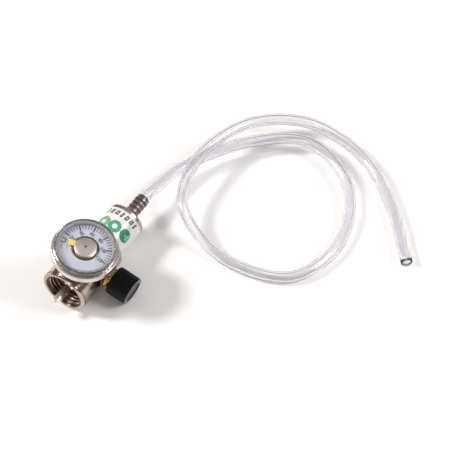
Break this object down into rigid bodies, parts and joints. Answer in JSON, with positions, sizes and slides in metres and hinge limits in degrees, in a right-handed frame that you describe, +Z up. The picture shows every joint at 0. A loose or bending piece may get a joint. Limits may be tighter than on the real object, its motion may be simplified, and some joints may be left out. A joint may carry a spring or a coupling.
{
  "type": "gas cylinder regulator",
  "caption": "Fixed-flow regulator for a disposable gas cylinder: threaded socket with a probe, pressure gauge, knurled on/off knob, and a clear hose on a barb.",
  "frame": {"origin": "centre of the cylinder socket's mouth, on the body's axis", "axes": "+X from the socket to the hose barb, +Z up, the knob towards -Y; the floor is 15.875 mm below the origin"},
  "size_m": [0.2232, 0.1888, 0.0504],
  "materials": {
    "nickel_plate": "bright nickel plate on turned brass",
    "probe_nickel": "polished nickel plate",
    "case_plate": "nickel-plated steel cup",
    "black_rubber": "moulded nitrile",
    "sintered_bronze": "sintered bronze grain",
    "white_plastic": "turned seat plastic",
    "steel": "turned stainless steel",
    "dark_steel": "black oxide",
    "spring_steel": "drawn spring wire",
    "brass": "turned brass",
    "barb_metal": "dull nickel on brass",
    "bronze_coil": "drawn phosphor bronze tube",
    "black_knob": "knurled black anodised finish",
    "label_film": "printed vinyl film",
    "clear_pvc": "clear soft PVC",
    "clear_lens": "clear polycarbonate",
    "dial_face": "printed pale blue-white dial",
    "frame_ring": "pale grey satin ring",
    "pointer_amber": "amber paint",
    "cap_metal": "spun metal, warm tone"
  },
  "bodies": {
    "regulator": {"valve_body": "nickel_plate", "inlet_probe": "probe_nickel", "socket_gasket": "black_rubber", "inlet_filter": "sintered_bronze", "valve_seat": "white_plastic", "valve_gland": "brass", "gland_oring": "black_rubber", "outlet_bonnet": "nickel_plate", "bonnet_oring": "black_rubber", "label": "label_film", "main_spring": "spring_steel", "flow_orifice": "brass", "hose_barb": "barb_metal", "hose": "clear_pvc", "gauge_stem": "brass", "gauge_case": "case_plate", "case_clip": "spring_steel", "bourdon_coil": "bronze_coil", "dial": "dial_face", "dial_retainer": "frame_ring", "lens_seal": "black_rubber", "gauge_lens": "clear_lens"},
    "stem_seal": {"stem_oring": "black_rubber"},
    "knob_and_stem": {"valve_stem": "steel", "knob": "black_knob", "knob_set_screw": "dark_steel"},
    "regulator_piston": {"piston": "steel", "piston_seat": "white_plastic", "piston_stem_oring": "black_rubber", "piston_head_oring": "black_rubber"},
    "gauge_pointer": {"pointer": "pointer_amber", "pointer_cap": "cap_metal"}
  },
  "joints": [
    {"name": "stem_lift", "type": "slide", "parent": "regulator", "child": "stem_seal", "axis": [0, -0.9827, -0.1851], "range_m": [0, 0.00121]},
    {"name": "knob_turn", "type": "hinge", "parent": "stem_seal", "child": "knob_and_stem", "pos_m": [0.0274, 0, 0], "axis": [0, -0.9827, -0.1851], "range_deg": [0, 540]},
    {"name": "piston_travel", "type": "slide", "parent": "regulator", "child": "regulator_piston", "axis": [-1, 0, 0], "range_m": [0, 0.0009], "deforming": ["main_spring"]},
    {"name": "pointer_sweep", "type": "hinge", "parent": "regulator", "child": "gauge_pointer", "pos_m": [0.02, -0.00546, 0.02899], "axis": [0, 0.1851, -0.9827], "range_deg": [0, 200]}
  ],
  "couplings": [
    {"joint": "stem_lift", "follows": "knob_turn", "m_per_rad": 0.00012732}
  ]
}
